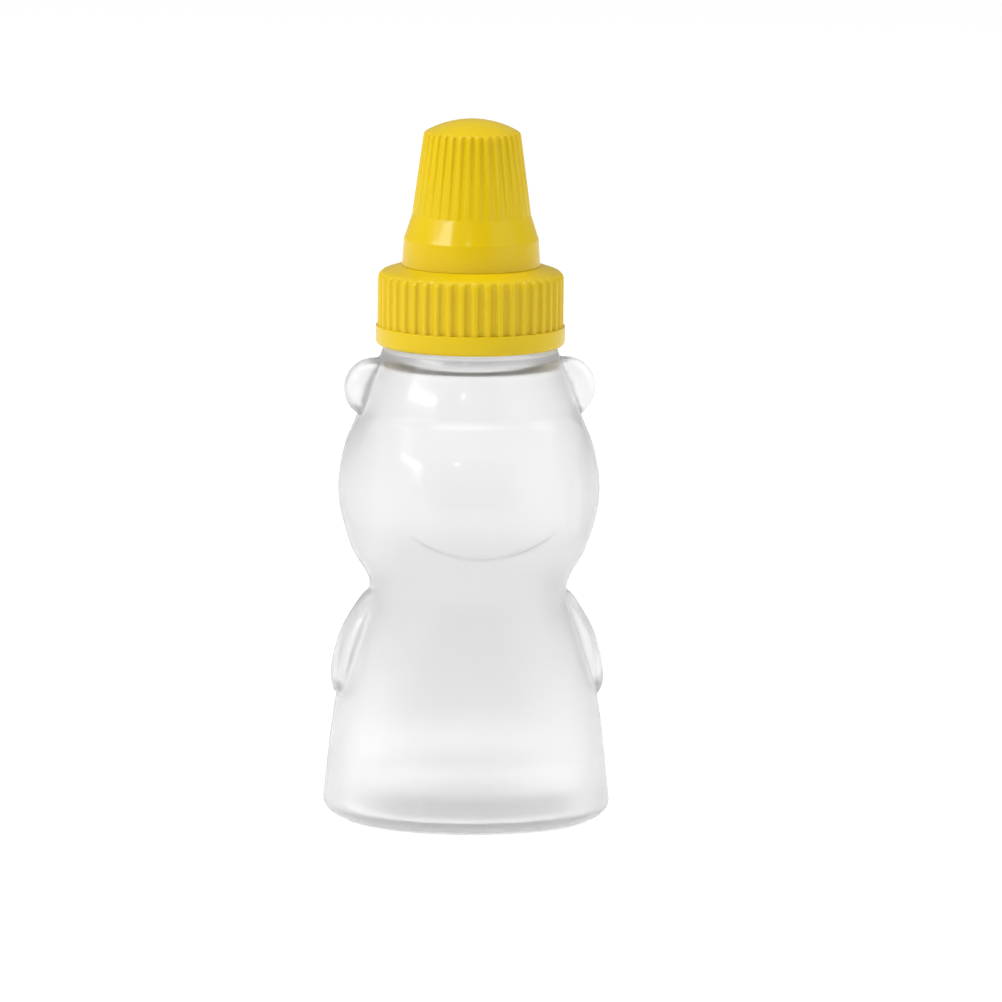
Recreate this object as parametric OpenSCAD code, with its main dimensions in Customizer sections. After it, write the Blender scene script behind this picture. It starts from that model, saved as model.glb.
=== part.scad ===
// Small bear-shaped squeeze bottle with a screw closure, a dispensing spout and an overcap.
// Millimetres, +Z up, the face looks towards -Y, the origin is on the standing surface.

/* [Base] */
// Width of the body just above its base
base_w = 31.8; // [29:0.1:35]
// Depth of the body just above its base
base_d = 31.6; // [29:0.1:35]
// Squareness of the base outline, where 2 is an ellipse
base_sq = 2.1; // [2:0.1:4]
// Radius of the rounded bottom edge
base_round = 1.6; // [1.5:0.1:3.4]
// Height of the standing ring under the floor
foot_h = 0.3; // [0.2:0.05:0.8]
// Distance from the body's widest outline in to the standing ring
foot_inset = 1.7; // [1.5:0.1:3.5]
// Width of the standing ring
foot_w = 2.4; // [1.5:0.1:4]

/* [Body sections] */
// Height of the section at the hands
belly_z = 13.5; // [11:0.1:16]
// Width at the hands, without the arms
belly_w = 28.9; // [26:0.1:31]
// Depth at the hands
belly_d = 28.4; // [26:0.1:31]
// Squareness at the hands
belly_sq = 2.4; // [2:0.1:4]
// Height of the chest section
chest_z = 20; // [18:0.1:22]
// Width of the chest, without the arms
chest_w = 25.4; // [23:0.1:27]
// Depth of the chest
chest_d = 25.2; // [23:0.1:27]
// Height of the waist between body and head
waist_z = 25.9; // [24.5:0.1:27.5]
// Width of the waist
waist_w = 21.8; // [20:0.1:24]
// Depth of the waist
waist_d = 22.3; // [20:0.1:24]
// Squareness of the chest and the waist
waist_sq = 2.3; // [2:0.1:3]

/* [Head sections] */
// Height of the section at the jaw
jaw_z = 30.3; // [29:0.1:32]
// Width of the head at the jaw
jaw_w = 26.2; // [24:0.1:28]
// Depth of the head at the jaw, without the muzzle
jaw_d = 25; // [23:0.1:27]
// Height of the widest part of the head
cheek_z = 36; // [34.5:0.1:37.5]
// Width of the head at the cheeks
cheek_w = 29; // [26:0.1:31]
// Depth of the head at the cheeks, without the muzzle
cheek_d = 27.8; // [25:0.1:30]
// Height of the section at the level of the eyes
eye_z = 41.2; // [40:0.1:42.5]
// Width of the head at the level of the eyes
eye_w = 27.8; // [25:0.1:29]
// Depth of the head at the level of the eyes
eye_d = 26.6; // [24:0.1:28]
// Height of the section at the temples
temple_z = 45; // [43.5:0.1:46.5]
// Width at the temples
temple_w = 24.9; // [23:0.1:27]
// Depth at the temples
temple_d = 24.6; // [23:0.1:27]
// Squareness of the head
head_sq = 2.1; // [2:0.1:3]
// Height of the shoulder that carries the neck
shoulder_z = 51.4; // [50:0.1:54]
// Diameter of the shoulder
shoulder_dia = 20.2; // [19:0.1:22]

/* [Walls] */
// Thickness of the blown wall
wall = 0.9; // [0.6:0.05:1.3]
// Thickness of the floor
floor_t = 1.1; // [0.8:0.05:1.8]

/* [Ears and arms] */
// Distance of the ears' centres from the middle of the head
ear_x = 10.6; // [10:0.1:11.5]
// Height of the ears' centres
ear_z = 48; // [46.5:0.1:48.4]
// Radius of the ears seen from the front
ear_r = 3.4; // [2.8:0.1:4]
// Thickness of the ears from front to back
ear_t = 4.4; // [3:0.1:6]
// Height of the middle of the arms
arm_z = 19.5; // [17.5:0.1:20]
// Length of the arms along the body
arm_len = 11.4; // [9:0.1:12]
// How far the arms stand out from the body
arm_out = 1.65; // [1:0.05:2.5]
// Thickness of the arms from front to back
arm_t = 7.2; // [5:0.1:9]

/* [Face] */
// Height of the brow line at the front
brow_z = 45.4; // [44:0.1:47]
// Half the length of the straight part of the brow line
brow_half = 9.6; // [8:0.1:10.5]
// Radius of the brow line's turned-down ends
brow_r = 2; // [1:0.1:3]
// How far the face stands out below the brow line
face_out = 0.35; // [0.2:0.05:0.8]
// Height of the lowest point of the chin line
chin_z = 30.6; // [29.5:0.1:32]
// Radius of the chin line
chin_r = 11; // [9:0.1:12]
// How far the muzzle stands out above the chin line
muzzle_out = 0.9; // [0.4:0.05:1.2]
// Half the width of the muzzle
muzzle_half = 9.8; // [8:0.1:11]

/* [Neck] */
// Outer diameter of the neck below the thread's crest
neck_dia = 16.4; // [15.5:0.1:17]
// Diameter of the mouth
mouth_dia = 14.4; // [13:0.1:14.8]
// Height of the neck above the shoulder
neck_h = 8.2; // [7.5:0.1:9.5]
// Width of the bead at the foot of the neck
bead_w = 1.7; // [0.6:0.1:1.8]
// Height of the bead at the foot of the neck
bead_h = 1.05; // [0.6:0.05:1.1]
// Space left between the neck and the closure for the thread
thread_room = 0.95; // [0.8:0.05:1.1]

/* [Closure] */
// Height of the closure's skirt below its deck
skirt_h = 7.6; // [7:0.1:7.7]
// Thickness of the skirt at the crests of its ribs
skirt_wall = 1.2; // [1:0.05:1.6]
// Thickness of the deck
deck_t = 1.3; // [1:0.05:2]
// Radius of the rounded edge between deck and skirt
deck_round = 1.6; // [1:0.1:2]
// Slope in degrees at which the deck falls towards its edge, outside the overcap
deck_slope = 18; // [0:1:24]
// Height of the plain band at the bottom of the skirt
band_h = 2.2; // [1.5:0.1:3]
// How far the plain band stands out past the ribs
band_out = 0.16; // [0.05:0.01:0.3]
// Number of grip ribs around the closure
closure_ribs = 44; // [30:2:52]
// Depth of the grooves between the closure's ribs
closure_groove = 0.36; // [0.2:0.02:0.5]

/* [Spout] */
// Diameter of the collar that the overcap fits on
collar_dia = 12.6; // [11.8:0.1:12.8]
// Height of the collar
collar_h = 1.5; // [1:0.1:2]
// Diameter of the spout at its foot
spout_foot_dia = 8.2; // [7.4:0.1:8.4]
// Diameter of the spout at its tip
spout_tip_dia = 3.8; // [3:0.1:4.5]
// Diameter of the spout's bore at its foot
spout_bore_dia = 5.4; // [4.5:0.1:5.6]
// Diameter of the orifice at the tip
orifice_dia = 1.8; // [1.4:0.1:2.2]
// Length of the straight part of the orifice
orifice_len = 2; // [1.5:0.1:3]

/* [Overcap] */
// Height of the overcap
overcap_h = 16.3; // [15.5:0.1:18]
// Thickness of the overcap's plain skirt
overcap_skirt_wall = 1.34; // [1.1:0.02:1.6]
// Height of the plain skirt
overcap_skirt_h = 3; // [2.6:0.1:3.6]
// How much the plain skirt draws in towards its top
skirt_draft = 0.2; // [0:0.05:0.3]
// Height at which the ribs of the overcap begin
rib_foot_h = 5.7; // [5.4:0.1:6.4]
// Diameter at the foot of the overcap's ribs
rib_foot_dia = 13.2; // [12.8:0.1:13.6]
// Diameter at the top of the overcap's ribs
rib_top_dia = 10.8; // [10:0.1:11.4]
// Rise of the overcap's domed top
dome_h = 1.5; // [1:0.1:2]
// Thickness of the overcap's ribbed wall at its crests
overcap_wall = 1.15; // [0.9:0.05:1.3]
// Thickness of the overcap's top
overcap_top_t = 1.4; // [1:0.1:1.8]
// Number of grip ribs around the overcap
overcap_ribs = 34; // [24:2:40]
// Depth of the grooves between the overcap's ribs
overcap_groove = 0.3; // [0.15:0.02:0.4]
// Gap between the spout's tip and the overcap's top
tip_gap = 1.1; // [0.6:0.1:1.6]
// Depth to which the overcap's pin plugs the orifice
pin_depth = 1; // [0.5:0.1:1.4]

/* [Seal liner] */
// Thickness of the seal liner
liner_t = 0.8; // [0.5:0.05:1.2]
// Diameter of the hole in the seal liner
liner_hole_dia = 8.6; // [7:0.1:10]

/* [Fits] */
// Radial clearance of the overcap on the spout's collar
collar_fit = 0.05; // [0.02:0.01:0.1]
// Radial clearance of the pin in the orifice
pin_fit = 0.06; // [0.03:0.01:0.1]
// Radial clearance of the liner inside the closure
liner_fit = 0.25; // [0.1:0.05:0.4]

/* [Hidden] */

$fn = 96;
// Small overlap that lets cutters run clear of a face
eps = 0.02;
// Depth to which the neck and the standing ring are rooted in the blown wall
root = 0.45;

// Heights of the stack above the shoulder
rim_z = shoulder_z + neck_h;
deck_under_z = rim_z + liner_t;
deck_z = deck_under_z + deck_t;
skirt_bottom_z = deck_under_z - skirt_h;

// Radii of the closure and the overcap, built out from the neck and the collar
closure_bore_r = neck_dia / 2 + thread_room;
closure_r = closure_bore_r + skirt_wall;
band_r = closure_r + band_out;
socket_r = collar_dia / 2 + collar_fit;
overcap_r = socket_r + overcap_skirt_wall;
spout_h = overcap_h - overcap_top_t - tip_gap;

// Mesh of the blown skin: points around, rings up the body and the head, rings of the round edge
around = 64;
body_rings = 15;
head_rings = 30;
edge_rings = 4;
inner_rings = 20;
// How strongly the points around gather at the ears and arms, from 0 to 1
gather = 0.35;

// Sections of the plain skin: height, half width, half depth, squareness
hip_z = foot_h + base_round;
sections = [
    [0, base_w / 2, base_d / 2, base_sq],
    [hip_z, base_w / 2, base_d / 2, base_sq],
    [belly_z, belly_w / 2, belly_d / 2, belly_sq],
    [chest_z, chest_w / 2, chest_d / 2, waist_sq],
    [waist_z, waist_w / 2, waist_d / 2, waist_sq],
    [jaw_z, jaw_w / 2, jaw_d / 2, head_sq],
    [cheek_z, cheek_w / 2, cheek_d / 2, head_sq],
    [eye_z, eye_w / 2, eye_d / 2, head_sq],
    [temple_z, temple_w / 2, temple_d / 2, head_sq],
    [shoulder_z, shoulder_dia / 2, shoulder_dia / 2, 2]
];
last = len(sections) - 1;

function smooth(t) = let (u = min(1, max(0, t))) u * u * (3 - 2 * u);

// Slope of column k of the sections at section i
function slope(i, k) =
    let (lo = max(0, i - 1), hi = min(last, i + 1))
    (sections[hi][k] - sections[lo][k]) / (sections[hi][0] - sections[lo][0]);

// Section below the height z
function below(z, i = 0) = (i >= last - 1 || z < sections[i + 1][0]) ? i : below(z, i + 1);

// Column k of the sections at the height z, on a smooth curve through them
function section(z, k) =
    let (
        i = below(z),
        span = sections[i + 1][0] - sections[i][0],
        t = (z - sections[i][0]) / span,
        rise = sections[i + 1][k] - sections[i][k],
        from = slope(i, k) * span,
        to = slope(i + 1, k) * span
    )
    sections[i][k] + t * from + t * t * (3 * rise - 2 * from - to) + t * t * t * (from + to - 2 * rise);

// Distance of an outline of half width a, half depth b and squareness n in the direction angle
function outline(a, b, n, angle) =
    pow(pow(abs(cos(angle)) / a, n) + pow(abs(sin(angle)) / b, n), -1 / n);

// A rounded bulge of half thickness half, seen along its thickness, that fades out at its sides
function lobe(across, half) = sqrt(max(0, 1 - pow(across / half, 4)));

// How far an ear stands out of a skin of half width a
function ear(z, a, across, inset) =
    let (r = ear_r - inset, dz = z - ear_z)
    abs(dz) >= r ? 0
        : max(0, ear_x + sqrt(r * r - dz * dz) - a) * lobe(across, (ear_t / 2 - inset) * lobe(dz, r));

// How far an arm stands out
function arm(z, across, inset) =
    let (half_len = arm_len / 2 - inset, half_t = arm_t / 2 - inset, u = (z - arm_z) / half_len)
    arm_out * sqrt(max(0, 1 - u * u - pow(across / half_t, 4)));

// How far the face stands out: a plate under the brow line and a muzzle above the chin line
function face(x, z) =
    let (
        past_brow = max(0, abs(x) - brow_half),
        brow_end = brow_r + 1 - sqrt(max(0, pow(brow_r + 1, 2) - pow(min(past_brow, brow_r + 1), 2))),
        under_brow = smooth((brow_z - brow_end - z) / 0.8 + 0.5),
        to_chin = chin_r - norm([x, z - chin_z - chin_r]),
        over_chin = smooth(to_chin / 1.1 + 0.5),
        sides = smooth((brow_half + brow_r + 1.4 - abs(x)) / 2.4),
        muzzle_sides = smooth((muzzle_half - abs(x)) / (muzzle_half * 0.45)),
        upper = smooth((brow_z - z) / (brow_z - chin_z) * 1.6)
    )
    face_out * under_brow * sides * smooth((z - chin_z) / 3)
        + muzzle_out * over_chin * upper * muzzle_sides;

// Point of the blown skin at a height and a direction, moved in by inset
function skin(z, angle, inset, out_z) =
    let (
        a = section(z, 1) - inset,
        b = section(z, 2) - inset,
        plain = outline(a, b, section(z, 3), angle),
        x = plain * cos(angle),
        y = plain * sin(angle),
        bump = ear(z, a, y, inset) + arm(z, y, inset) + (y < 0 ? face(x, z) * smooth(-y / 4) : 0),
        reach = plain + bump
    )
    [reach * cos(angle), reach * sin(angle), out_z];

// Direction of point j of count around a ring
function direction(j, count) =
    let (u = 360 * j / count) u - gather * sin(2 * u) * 90 / PI;

function ring(z, inset) = [for (j = [0 : around - 1]) skin(z, direction(j, around), inset, z)];

// Rings of the rounded bottom edge of radius r that starts at height z0, for a skin moved in by inset
function edge(z0, r, inset) = [
    for (i = [0 : edge_rings - 1])
        let (turn = 90 * i / edge_rings)
        [
            for (j = [0 : around - 1])
                skin(z0 + r, direction(j, around), inset + r * (1 - sin(turn)), z0 + r * (1 - cos(turn)))
        ]
];

function circle_ring(r, z) = [
    for (j = [0 : around - 1]) [r * cos(direction(j, around)), r * sin(direction(j, around)), z]
];

// All rings of the shell, up the outside, over the shoulder, down the mouth and down the inside
mouth_ring_r = mouth_dia / 2 - 0.2;
roof_z = shoulder_z - wall;
floor_z = foot_h + floor_t;
inner_round = base_round - wall;
shell_rings = concat(
    edge(foot_h, base_round, 0),
    [for (i = [0 : body_rings - 1]) ring(hip_z + (waist_z - hip_z) * i / body_rings, 0)],
    [for (i = [0 : head_rings]) ring(waist_z + (shoulder_z - waist_z) * i / head_rings, 0)],
    [circle_ring(mouth_ring_r, shoulder_z), circle_ring(mouth_ring_r, roof_z)],
    [
        for (i = [0 : inner_rings])
            ring(roof_z - (roof_z - floor_z - inner_round) * i / inner_rings, wall)
    ],
    [for (i = [1 : edge_rings]) edge(floor_z, inner_round, wall)[edge_rings - i]]
);

// The blown skin as one closed shell
module blown_shell() {
    rings = len(shell_rings);
    points = concat(
        [for (r = shell_rings) for (p = r) p],
        [[0, 0, foot_h], [0, 0, floor_z]]
    );
    outer_centre = rings * around;
    inner_centre = outer_centre + 1;
    top = (rings - 1) * around;
    faces = concat(
        [
            for (i = [0 : rings - 2], j = [0 : around - 1])
                let (k = (j + 1) % around)
                each [
                    [i * around + j, (i + 1) * around + j, (i + 1) * around + k],
                    [i * around + j, (i + 1) * around + k, i * around + k]
                ]
        ],
        [for (j = [0 : around - 1]) [outer_centre, j, (j + 1) % around]],
        [for (j = [0 : around - 1]) [inner_centre, top + (j + 1) % around, top + j]]
    );
    polyhedron(points = points, faces = faces, convexity = 6);
}

// Flat outline of the base, moved in by inset, with corners between the shell's own directions
module base_outline(inset) {
    polygon([
        for (j = [0 : around - 1])
            let (angle = direction(j + 0.5, around))
            outline(base_w / 2 - inset, base_d / 2 - inset, base_sq, angle) * [cos(angle), sin(angle)]
    ]);
}

// Standing ring under the floor
module foot() {
    linear_extrude(foot_h + root)
        difference() {
            base_outline(foot_inset);
            base_outline(foot_inset + foot_w);
        }
}

// Neck with its bead, turned as one profile
module neck() {
    outer = neck_dia / 2;
    mouth = mouth_dia / 2;
    bead = outer + bead_w;
    rotate_extrude()
        polygon([
            [mouth, shoulder_z - root],
            [bead, shoulder_z - root],
            [bead, shoulder_z + bead_h - 0.25],
            [bead - 0.25, shoulder_z + bead_h],
            [outer, shoulder_z + bead_h],
            [outer, rim_z - 0.3],
            [outer - 0.3, rim_z],
            [mouth + 0.1, rim_z],
            [mouth, rim_z - 0.1]
        ]);
}

module bottle() {
    color([0.9, 0.92, 0.93])
        union() {
            blown_shell();
            foot();
            neck();
        }
}

module seal_liner() {
    color([0.95, 0.95, 0.93])
        translate([0, 0, rim_z])
            difference() {
                cylinder(r = closure_bore_r - liner_fit, h = liner_t);
                translate([0, 0, -eps])
                    cylinder(d = liner_hole_dia, h = liner_t + 2 * eps);
            }
}

// Closure without its ribs: skirt, band and a deck that falls towards its rounded edge
module closure_blank() {
    band_top = skirt_bottom_z + band_h;
    flat_r = overcap_r + 0.2;
    round_r = closure_r - deck_round;
    side_top = deck_z - (deck_round + (round_r - flat_r) * sin(deck_slope)) / cos(deck_slope);
    difference() {
        union() {
            translate([0, 0, skirt_bottom_z])
                rotate_extrude()
                    polygon([
                        [0, 0],
                        [band_r - 0.15, 0],
                        [band_r, 0.15],
                        [band_r, band_h],
                        [0, band_h]
                    ]);
            rotate_extrude()
                union() {
                    translate([0, band_top - eps])
                        square([closure_r, side_top - band_top + eps]);
                    polygon([
                        [0, side_top - eps],
                        [round_r, side_top - eps],
                        [round_r + deck_round * sin(deck_slope), side_top + deck_round * cos(deck_slope)],
                        [flat_r, deck_z],
                        [0, deck_z]
                    ]);
                    translate([round_r, side_top])
                        intersection() {
                            circle(r = deck_round);
                            polygon([
                                [0, -eps],
                                [2 * deck_round, -eps],
                                [2 * deck_round, 2 * deck_round],
                                2 * deck_round * [sin(deck_slope), cos(deck_slope)],
                                [0, 0]
                            ]);
                        }
                }
        }
        translate([0, 0, skirt_bottom_z - eps])
            cylinder(r = closure_bore_r, h = skirt_h + eps);
    }
}

// Grooves that leave the closure's ribs standing
module closure_grooves() {
    groove_r = 0.55;
    for (i = [0 : closure_ribs - 1])
        rotate([0, 0, 360 * i / closure_ribs])
            translate([closure_r + groove_r - closure_groove, 0, skirt_bottom_z + band_h])
                cylinder(r = groove_r, h = deck_z, $fn = 24);
}

// Collar and hollow tapered spout
module spout() {
    rotate_extrude()
        polygon([
            [spout_bore_dia / 2, deck_z - eps],
            [collar_dia / 2, deck_z - eps],
            [collar_dia / 2, deck_z + collar_h - 0.3],
            [collar_dia / 2 - 0.3, deck_z + collar_h],
            [spout_foot_dia / 2, deck_z + collar_h],
            [spout_tip_dia / 2, deck_z + spout_h - 0.3],
            [spout_tip_dia / 2 - 0.3, deck_z + spout_h],
            [orifice_dia / 2, deck_z + spout_h],
            [orifice_dia / 2, deck_z + spout_h - orifice_len]
        ]);
}

module closure() {
    color([0.93, 0.78, 0.1])
        union() {
            difference() {
                closure_blank();
                closure_grooves();
                translate([0, 0, deck_under_z - eps])
                    cylinder(d = spout_bore_dia, h = deck_t + 2 * eps);
            }
            spout();
        }
}

// Outside of the overcap as a half profile: plain skirt, flare, ribbed cone and dome
module overcap_half() {
    flare_r = overcap_r - skirt_draft;
    cone_top_z = overcap_h - dome_h;
    cone_top_r = rib_top_dia / 2;
    dome_r = (cone_top_r * cone_top_r + dome_h * dome_h) / (2 * dome_h);
    polygon([
        [0, 0],
        [overcap_r - 0.3, 0],
        [overcap_r, 0.3],
        [flare_r, overcap_skirt_h],
        [flare_r - 0.14, overcap_skirt_h + 0.4],
        [rib_foot_dia / 2, rib_foot_h],
        [cone_top_r, cone_top_z],
        [0, cone_top_z]
    ]);
    intersection() {
        translate([0, overcap_h - dome_r])
            circle(r = dome_r);
        translate([0, cone_top_z - eps])
            square([cone_top_r, dome_h + 1]);
    }
}

// Inside of the overcap: the socket that fits the collar, and the tapered hollow over the spout
module overcap_hollow() {
    hollow_top = overcap_h - overcap_top_t;
    rotate_extrude()
        polygon([
            [0, -eps],
            [socket_r, -eps],
            [socket_r, collar_h + 0.3],
            [rib_foot_dia / 2 - overcap_wall, rib_foot_h],
            [rib_top_dia / 2 - overcap_wall, hollow_top],
            [0, hollow_top]
        ]);
}

// Grooves that follow the overcap's taper
module overcap_grooves() {
    groove_r = 0.4;
    run = overcap_h - dome_h - rib_foot_h;
    draw_in = (rib_foot_dia - rib_top_dia) / 2;
    lean = atan(draw_in / run);
    for (i = [0 : overcap_ribs - 1])
        rotate([0, 0, 360 * i / overcap_ribs])
            translate([rib_foot_dia / 2 + groove_r - overcap_groove, 0, rib_foot_h])
                rotate([0, -lean, 0])
                    cylinder(r = groove_r, h = run + dome_h, $fn = 24);
}

// Pin under the overcap's top that plugs the orifice
module pin() {
    translate([0, 0, spout_h - pin_depth])
        cylinder(r = orifice_dia / 2 - pin_fit, h = pin_depth + tip_gap + eps);
}

module overcap() {
    color([0.93, 0.78, 0.1])
        translate([0, 0, deck_z])
            union() {
                difference() {
                    rotate_extrude()
                        overcap_half();
                    overcap_hollow();
                    overcap_grooves();
                }
                pin();
            }
}

bottle();
seal_liner();
closure();
overcap();
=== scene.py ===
"""Dressing of a small bear-shaped squeeze bottle with a screw closure, a spout and an overcap.

The pieces' sizes are in millimetres, as in the part's source, and turned into metres where a mesh is
built. Materials, lamps and the camera are in metres. +Z is up, the bear's face looks towards -Y, and the
origin is on the standing surface.
"""

import logging
import math
from dataclasses import dataclass, field
from enum import Enum
from typing import Optional, Sequence

import bmesh
import bpy
import numpy as np
from mathutils import Matrix, Vector


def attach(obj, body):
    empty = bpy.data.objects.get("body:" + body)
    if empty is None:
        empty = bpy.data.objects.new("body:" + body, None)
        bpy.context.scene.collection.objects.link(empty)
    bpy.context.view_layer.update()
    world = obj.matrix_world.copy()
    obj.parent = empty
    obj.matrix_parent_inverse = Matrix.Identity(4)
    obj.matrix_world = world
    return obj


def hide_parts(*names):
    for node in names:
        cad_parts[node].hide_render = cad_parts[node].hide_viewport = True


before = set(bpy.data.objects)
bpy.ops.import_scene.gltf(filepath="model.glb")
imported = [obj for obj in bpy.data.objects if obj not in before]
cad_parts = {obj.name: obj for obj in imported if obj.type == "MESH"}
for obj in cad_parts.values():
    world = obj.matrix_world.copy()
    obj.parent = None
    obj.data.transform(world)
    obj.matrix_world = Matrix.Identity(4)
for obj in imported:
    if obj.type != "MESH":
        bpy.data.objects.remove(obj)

LOG = logging.getLogger("squeeze_bottle")
MM = 0.001
FULL_TURN = 2 * math.pi
WELD_DISTANCE = 2e-7
DOUBLES_DISTANCE = 1e-7
SLIVER_LENGTH = 1e-8
NO_CREST = 1000.0
Point = tuple[float, float]
Band = tuple[Point, Point]
Colour = tuple[float, float, float]
SocketRow = tuple[str, str, tuple[str, ...]]
Node = bpy.types.Node
Socket = bpy.types.NodeSocket


class Body(Enum):
    """The bodies of the frame that pieces ride on."""

    BOTTLE = "bottle"
    LINER = "seal_liner"
    CLOSURE = "closure"
    OVERCAP = "overcap"


class Slot(Enum):
    """The material slots of the record that pieces stand in."""

    BLOWN_BODY = "blown_body"
    CLOSURE = "cap_closure"
    OVERCAP = "cap_overcap"


class NodeGraph:
    """A node tree under construction, with short calls for its nodes, links and sums."""

    def __init__(self, tree: bpy.types.NodeTree) -> None:
        """Starts from the tree that the nodes go into."""
        self.tree = tree

    def add(self, kind: str, **settings: object) -> Node:
        """Adds a node.

        Args:
            kind: The node's type name.
            **settings: Properties set on the node.

        Returns:
            The new node.
        """
        node = self.tree.nodes.new(kind)
        for name, value in settings.items():
            setattr(node, name, value)
        return node

    def feed(self, target: Socket, value: object) -> None:
        """Gives a socket a value, or a link where the value is a socket."""
        if isinstance(value, Socket):
            self.tree.links.new(value, target)
        else:
            target.default_value = value

    def inputs(self, node: Node, **values: object) -> Node:
        """Feeds a node's inputs by name, where an underscore stands for a space.

        Args:
            node: The node to feed.
            **values: Values or sockets by input name.

        Returns:
            The same node.
        """
        for name, value in values.items():
            self.feed(node.inputs[name.replace("_", " ")], value)
        return node

    def math(self, operation: str, *values: object, clamp: bool = False) -> Socket:
        """Adds a Math node.

        Args:
            operation: The node's operation.
            *values: Its operands, as numbers or sockets.
            clamp: Whether the result is held between 0 and 1.

        Returns:
            The result's socket.
        """
        node = self.add("ShaderNodeMath", operation=operation, use_clamp=clamp)
        for socket, value in zip(node.inputs, values):
            self.feed(socket, value)
        return node.outputs[0]

    def spread(
        self, value: Socket, low: float, high: float, to_low: float = 0.0, to_high: float = 1.0
    ) -> Socket:
        """Maps a value from one span to another along a smooth step.

        Args:
            value: The value to map.
            low: Lower end of the source span.
            high: Upper end of the source span.
            to_low: What the lower end becomes.
            to_high: What the upper end becomes.

        Returns:
            The result's socket.
        """
        node = self.add("ShaderNodeMapRange", interpolation_type="SMOOTHSTEP")
        for socket, item in zip(node.inputs, (value, low, high, to_low, to_high)):
            self.feed(socket, item)
        return node.outputs[0]

    def window(self, value: Socket, rise: Point, fall: Point) -> Socket:
        """Mask of a band with soft ends.

        Args:
            value: What the band is measured along.
            rise: Where the mask begins and is full.
            fall: Where it begins to fall and is gone.

        Returns:
            The mask's socket.
        """
        return self.math("MULTIPLY", self.spread(value, *rise), self.spread(value, fall[1], fall[0]))

    def here(self) -> Socket:
        """The object's own coordinates."""
        return self.add("ShaderNodeTexCoord").outputs["Object"]

    def noise(self, place: Socket, scale: object, **values: object) -> Socket:
        """Adds a noise texture.

        Args:
            place: Its coordinates.
            scale: Its scale, as a number or a socket.
            **values: Its other inputs by name.

        Returns:
            The noise's socket.
        """
        node = self.add("ShaderNodeTexNoise")
        return self.inputs(node, Vector=place, Scale=scale, **values).outputs[0]

    def blend(self, mask: Socket, first: object, second: object) -> Socket:
        """Mixes two colours by a mask.

        Args:
            mask: Where the second colour shows.
            first: A colour or a socket.
            second: A colour or a socket.

        Returns:
            The mixed colour's socket.
        """
        mix = self.add("ShaderNodeMix", data_type="RGBA")
        self.feed(mix.inputs[0], mask)
        for socket, value in ((mix.inputs[6], first), (mix.inputs[7], second)):
            self.feed(socket, value if isinstance(value, Socket) else (*value, 1.0))
        return mix.outputs[2]

    def polar(self, radius: Socket, angle: Socket, height: Socket) -> Socket:
        """Place at a radius and an angle round the axis, and at a height."""
        node = self.inputs(self.add("ShaderNodeCombineXYZ"), Z=height)
        for name, operation in (("X", "COSINE"), ("Y", "SINE")):
            self.feed(node.inputs[name], self.math("MULTIPLY", radius, self.math(operation, angle)))
        return node.outputs[0]


def smooth(t: np.ndarray) -> np.ndarray:
    """Smooth step of a value that is held between 0 and 1."""
    u = np.clip(t, 0.0, 1.0)
    return u * u * (3.0 - 2.0 * u)


def rounded(corners: Sequence[tuple[float, float, float]], steps: int, closed: bool) -> list[Point]:
    """Rounds the corners of a polyline.

    Args:
        corners: Radius from the axis, height and corner radius of each corner, in millimetres.
        steps: Number of pieces that a full rounding is cut into.
        closed: Whether the last corner joins the first.

    Returns:
        The points of the rounded line.
    """
    points: list[Point] = []
    count = len(corners)
    for i, (r, z, radius) in enumerate(corners):
        here = Vector((r, z))
        if radius <= 0 or (not closed and i in (0, count - 1)):
            points.append((r, z))
            continue
        before = Vector(corners[i - 1][:2]) - here
        after = Vector(corners[(i + 1) % count][:2]) - here
        half = before.angle(after) / 2
        reach = min(radius / math.tan(half), before.length * 0.49, after.length * 0.49)
        start = here + before.normalized() * reach
        end = here + after.normalized() * reach
        for k in range(steps + 1):
            t = k / steps
            bend = (1 - t) ** 2 * start + 2 * t * (1 - t) * here + t * t * end
            points.append((bend.x, bend.y))
    return points


def mesh_object(name: str, points: np.ndarray, faces: Sequence[Sequence[int]]) -> bpy.types.Object:
    """Makes a smooth-shaded object whose faces point outwards.

    Args:
        name: The object's name.
        points: Its vertices in metres.
        faces: Its faces as lists of vertex numbers.

    Returns:
        The object, linked to the scene.
    """
    mesh = bpy.data.meshes.new(name)
    mesh.from_pydata(points.tolist(), [], [list(face) for face in faces])
    work = bmesh.new()
    work.from_mesh(mesh)
    bmesh.ops.remove_doubles(work, verts=work.verts, dist=DOUBLES_DISTANCE)
    bmesh.ops.recalc_face_normals(work, faces=work.faces)
    work.to_mesh(mesh)
    work.free()
    mesh.polygons.foreach_set("use_smooth", [True] * len(mesh.polygons))
    thing = bpy.data.objects.new(name, mesh)
    bpy.context.scene.collection.objects.link(thing)
    return thing


def new_material(name: str) -> tuple[bpy.types.Material, NodeGraph, Node]:
    """Makes a material with nodes.

    Args:
        name: The material's name.

    Returns:
        The material, its graph and its Principled shader.
    """
    material = bpy.data.materials.new(name)
    material.use_nodes = True
    return material, NodeGraph(material.node_tree), material.node_tree.nodes["Principled BSDF"]


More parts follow.
